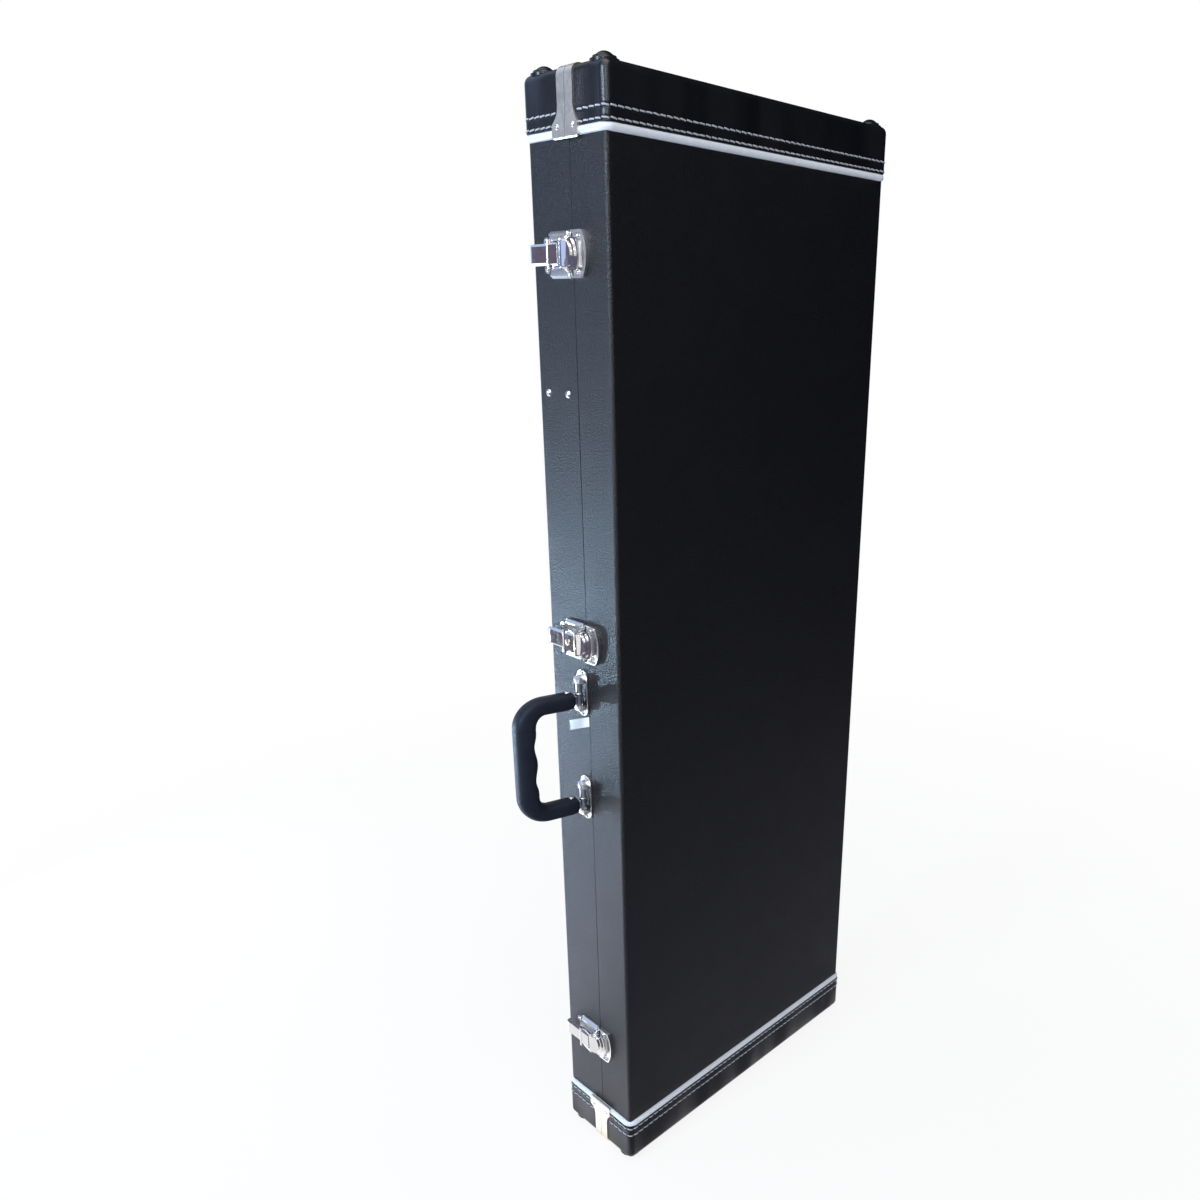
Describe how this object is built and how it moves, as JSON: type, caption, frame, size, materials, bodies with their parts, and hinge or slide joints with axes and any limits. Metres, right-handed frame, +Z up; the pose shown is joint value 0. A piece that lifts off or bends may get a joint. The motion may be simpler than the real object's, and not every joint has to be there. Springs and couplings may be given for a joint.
{
  "type": "electric guitar case",
  "caption": "Hard rectangular guitar case standing on end, with a hinged lid, draw latches, a lock, a swinging handle, capped ends and a padded guitar-shaped well.",
  "frame": {"origin": "centre of the case's footprint, on the surface under its bottom feet", "axes": "+Z up along the case, +X from the latch and handle side to the hinge side, -Y towards the front half (the lid), +Y towards the back half"},
  "size_m": [0.4386, 0.1064, 1.056],
  "materials": {
    "plywood": "raw birch plywood",
    "covering": "black grained vinyl, satin",
    "cap": "black grained leathercloth with two stitched seams",
    "piping": "white half-round bead, glossy",
    "clip": "bright plated steel",
    "chrome": "polished",
    "hinge": "plated, slightly satin",
    "foot": "black, satin",
    "grip": "black moulded, satin",
    "lip": "painted black",
    "plush": "black plush over foam",
    "plush_board": "black plush over thin board",
    "lock": "nickel-plated brass",
    "tab": "black"
  },
  "bodies": {
    "case_back": {"body_side_boards": "plywood", "body_end_boards": "plywood", "back_panel": "plywood", "body_covering": "covering", "body_lip": "lip", "floor_pad": "plush", "lower_padding": "plush", "upper_padding": "plush", "neck_cradle": "plush", "accessory_partition": "plush_board", "accessory_batten": "plywood", "partition_screws": "chrome", "body_top_cap": "cap", "body_bottom_cap": "cap", "body_top_piping": "piping", "body_bottom_piping": "piping", "body_clips": "clip", "body_clip_rivets": "chrome", "body_end_feet": "foot", "body_spine_feet": "foot", "latch_bases": "chrome", "latch_base_pins": "chrome", "latch_base_rivets": "chrome", "handle_brackets": "chrome", "bracket_rivets": "chrome", "hinge_body_leaves": "hinge", "hinge_pins": "hinge", "hinge_body_rivets": "hinge"},
    "lid": {"lid_side_boards": "plywood", "lid_end_boards": "plywood", "lid_panel": "plywood", "lid_covering": "covering", "lid_pad": "plush", "lid_side_lining": "plush", "lid_top_cap": "cap", "lid_bottom_cap": "cap", "lid_top_piping": "piping", "lid_bottom_piping": "piping", "lid_clips": "clip", "lid_clip_rivets": "chrome", "lid_end_feet": "foot", "lid_spine_feet": "foot", "latch_keepers": "chrome", "keeper_rivets": "chrome", "hinge_lid_leaves": "hinge", "hinge_lid_rivets": "hinge"},
    "handle": {"handle_grip": "grip", "handle_links": "chrome", "handle_cross_pins": "chrome"},
    "lower_lever": {"lower_latch_lever": "chrome"},
    "lower_claw": {"lower_latch_claw": "chrome"},
    "middle_lever": {"middle_latch_lever": "chrome"},
    "middle_claw": {"middle_latch_claw": "chrome"},
    "upper_lever": {"upper_latch_lever": "chrome"},
    "upper_claw": {"upper_latch_claw": "chrome"},
    "lock": {"lock_cylinder": "lock"},
    "accessory_door": {"accessory_lid": "plush_board", "accessory_pull_tab": "tab"}
  },
  "joints": [
    {"name": "lid_hinge", "type": "hinge", "parent": "case_back", "child": "lid", "pos_m": [0.1848, -0.005, 0.528], "axis": [0, 0, 1], "range_deg": [0, 100]},
    {"name": "handle_swing", "type": "hinge", "parent": "case_back", "child": "handle", "pos_m": [-0.1853, 0.003, 0.473], "axis": [0, 0, 1], "range_deg": [-55, 85]},
    {"name": "lower_lever_pivot", "type": "hinge", "parent": "case_back", "child": "lower_lever", "pos_m": [-0.1842, -0.0028, 0.136], "axis": [0, 0, 1], "range_deg": [0, 90]},
    {"name": "lower_claw_pivot", "type": "hinge", "parent": "lower_lever", "child": "lower_claw", "pos_m": [-0.1888, 0.0002, 0.136], "axis": [0, 0, 1], "range_deg": [-110, 0]},
    {"name": "middle_lever_pivot", "type": "hinge", "parent": "case_back", "child": "middle_lever", "pos_m": [-0.1842, -0.0028, 0.583], "axis": [0, 0, 1], "range_deg": [0, 90]},
    {"name": "middle_claw_pivot", "type": "hinge", "parent": "middle_lever", "child": "middle_claw", "pos_m": [-0.1888, 0.0002, 0.583], "axis": [0, 0, 1], "range_deg": [-110, 0]},
    {"name": "upper_lever_pivot", "type": "hinge", "parent": "case_back", "child": "upper_lever", "pos_m": [-0.1842, -0.0028, 0.915], "axis": [0, 0, 1], "range_deg": [0, 90]},
    {"name": "upper_claw_pivot", "type": "hinge", "parent": "upper_lever", "child": "upper_claw", "pos_m": [-0.1888, 0.0002, 0.915], "axis": [0, 0, 1], "range_deg": [-110, 0]},
    {"name": "lock_turn", "type": "hinge", "parent": "middle_lever", "child": "lock", "pos_m": [-0.191, 0.0095, 0.583], "axis": [-1, 0, 0], "range_deg": [0, 90]},
    {"name": "accessory_door_hinge", "type": "hinge", "parent": "case_back", "child": "accessory_door", "pos_m": [-0.1687, 0.0023, 0.709], "axis": [0, 0, 1], "range_deg": [-80, 0]}
  ],
  "couplings": [
    {"joint": "lower_claw_pivot", "follows": "lower_lever_pivot", "ratio": -1.22},
    {"joint": "middle_claw_pivot", "follows": "middle_lever_pivot", "ratio": -1.22},
    {"joint": "upper_claw_pivot", "follows": "upper_lever_pivot", "ratio": -1.22},
    {"joint": "accessory_door_hinge", "follows": "lid_hinge", "ratio": -0.8}
  ]
}
